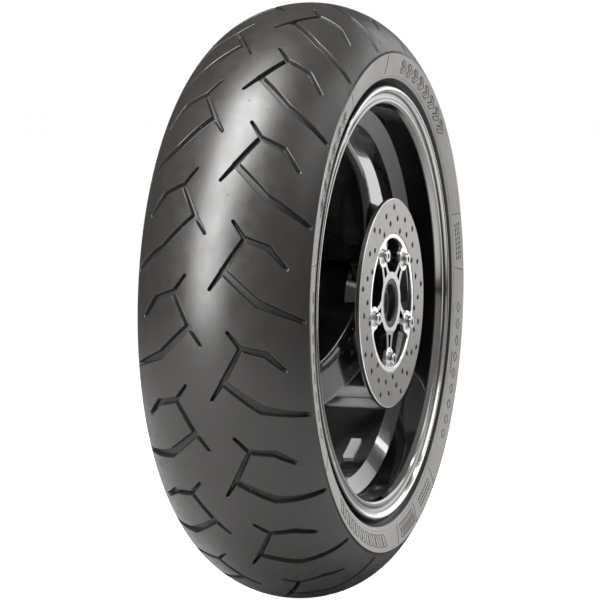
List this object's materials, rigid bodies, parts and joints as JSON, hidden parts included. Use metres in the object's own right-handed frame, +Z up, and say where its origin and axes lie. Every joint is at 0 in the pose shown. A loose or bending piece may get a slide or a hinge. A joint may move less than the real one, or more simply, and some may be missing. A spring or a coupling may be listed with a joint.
{
  "type": "motorcycle rear wheel and tyre",
  "caption": "Wide rear sport motorcycle tyre on a cast three-spoke wheel, with brake disc, sealed bearings, rubber cush drive and chain sprocket.",
  "frame": {"origin": "wheel centre on the axle line, in the tyre's mid-plane", "axes": "+Y along the axle to the bike's left (chain side), +X the way the bike rolls, +Z up"},
  "size_m": [0.63, 0.2081, 0.63],
  "materials": {
    "tread_rubber": "satin rubber",
    "sidewall_rubber": "moulded matte rubber",
    "wire_steel": "drawn wire",
    "black_paint": "gloss",
    "disc_steel": "ground",
    "bolt_steel": "bright plated",
    "seal_rubber": "satin",
    "damper_rubber": "matte",
    "sleeve_metal": "turned",
    "carrier_alloy": "cast",
    "sprocket_steel": "satin",
    "valve_brass": "turned",
    "valve_nickel": "plated",
    "cap_plastic": "moulded",
    "weight_zinc": "pale coating",
    "bearing_steel": "polished",
    "cage_brass": "stamped"
  },
  "bodies": {
    "axle_group": {"spacer_tube": "sleeve_metal", "carrier_sleeve": "sleeve_metal", "outer_collar": "sleeve_metal", "right_bearing_inner_race": "bearing_steel", "left_bearing_inner_race": "bearing_steel", "carrier_bearing_inner_race": "bearing_steel"},
    "wheel": {"tread": "tread_rubber", "steel_belt": "wire_steel", "casing": "sidewall_rubber", "bead_core_right": "wire_steel", "bead_core_left": "wire_steel", "wheel": "black_paint", "brake_disc": "disc_steel", "disc_bolts": "bolt_steel", "dust_seal": "seal_rubber", "right_bearing_outer_race": "bearing_steel", "right_bearing_shields": "seal_rubber", "left_bearing_outer_race": "bearing_steel", "left_bearing_shields": "seal_rubber", "cush_rubber_1": "damper_rubber", "cush_rubber_2": "damper_rubber", "cush_rubber_3": "damper_rubber", "cush_rubber_4": "damper_rubber", "cush_rubber_5": "damper_rubber", "valve_stem": "valve_brass", "valve_seal": "seal_rubber", "valve_nut": "valve_nickel", "valve_core": "valve_brass", "balance_weights": "weight_zinc"},
    "sprocket_carrier": {"sprocket_carrier": "carrier_alloy", "sprocket": "sprocket_steel", "sprocket_studs": "bolt_steel", "sprocket_nuts": "bolt_steel", "carrier_seal": "seal_rubber", "carrier_bearing_outer_race": "bearing_steel", "carrier_bearing_shields": "seal_rubber"},
    "right_ball_set": {"right_bearing_balls": "bearing_steel", "right_bearing_cage": "cage_brass"},
    "left_ball_set": {"left_bearing_balls": "bearing_steel", "left_bearing_cage": "cage_brass"},
    "carrier_ball_set": {"carrier_bearing_balls": "bearing_steel", "carrier_bearing_cage": "cage_brass"},
    "valve_pin": {"valve_pin": "valve_nickel"},
    "valve_cap": {"valve_cap": "cap_plastic"}
  },
  "joints": [
    {"name": "wheel_spin", "type": "hinge", "parent": "axle_group", "child": "wheel", "pos_m": [0, 0, 0], "axis": [0, 1, 0], "continuous": true},
    {"name": "cush_drive", "type": "hinge", "parent": "wheel", "child": "sprocket_carrier", "pos_m": [0, 0.08, 0], "axis": [0, 1, 0], "range_deg": [-3, 3], "stiffness_Nm_per_rad": 600, "deforming": ["cush_rubber_1", "cush_rubber_2", "cush_rubber_3", "cush_rubber_4", "cush_rubber_5"]},
    {"name": "right_balls_spin", "type": "hinge", "parent": "axle_group", "child": "right_ball_set", "pos_m": [0, -0.0745, 0], "axis": [0, 1, 0], "continuous": true},
    {"name": "left_balls_spin", "type": "hinge", "parent": "axle_group", "child": "left_ball_set", "pos_m": [0, 0.0375, 0], "axis": [0, 1, 0], "continuous": true},
    {"name": "carrier_balls_spin", "type": "hinge", "parent": "axle_group", "child": "carrier_ball_set", "pos_m": [0, 0.0855, 0], "axis": [0, 1, 0], "continuous": true},
    {"name": "valve_pin_push", "type": "slide", "parent": "wheel", "child": "valve_pin", "axis": [-0.4695, 0, -0.8829], "range_m": [0, 0.0012], "stiffness_N_per_m": 1500},
    {"name": "valve_cap_off", "type": "slide", "parent": "wheel", "child": "valve_cap", "axis": [0.4695, 0, 0.8829], "range_m": [0, 0.014]}
  ],
  "couplings": [
    {"joint": "right_balls_spin", "follows": "wheel_spin", "ratio": 0.6017},
    {"joint": "left_balls_spin", "follows": "wheel_spin", "ratio": 0.6017},
    {"joint": "carrier_balls_spin", "follows": "wheel_spin", "ratio": 0.6017}
  ]
}
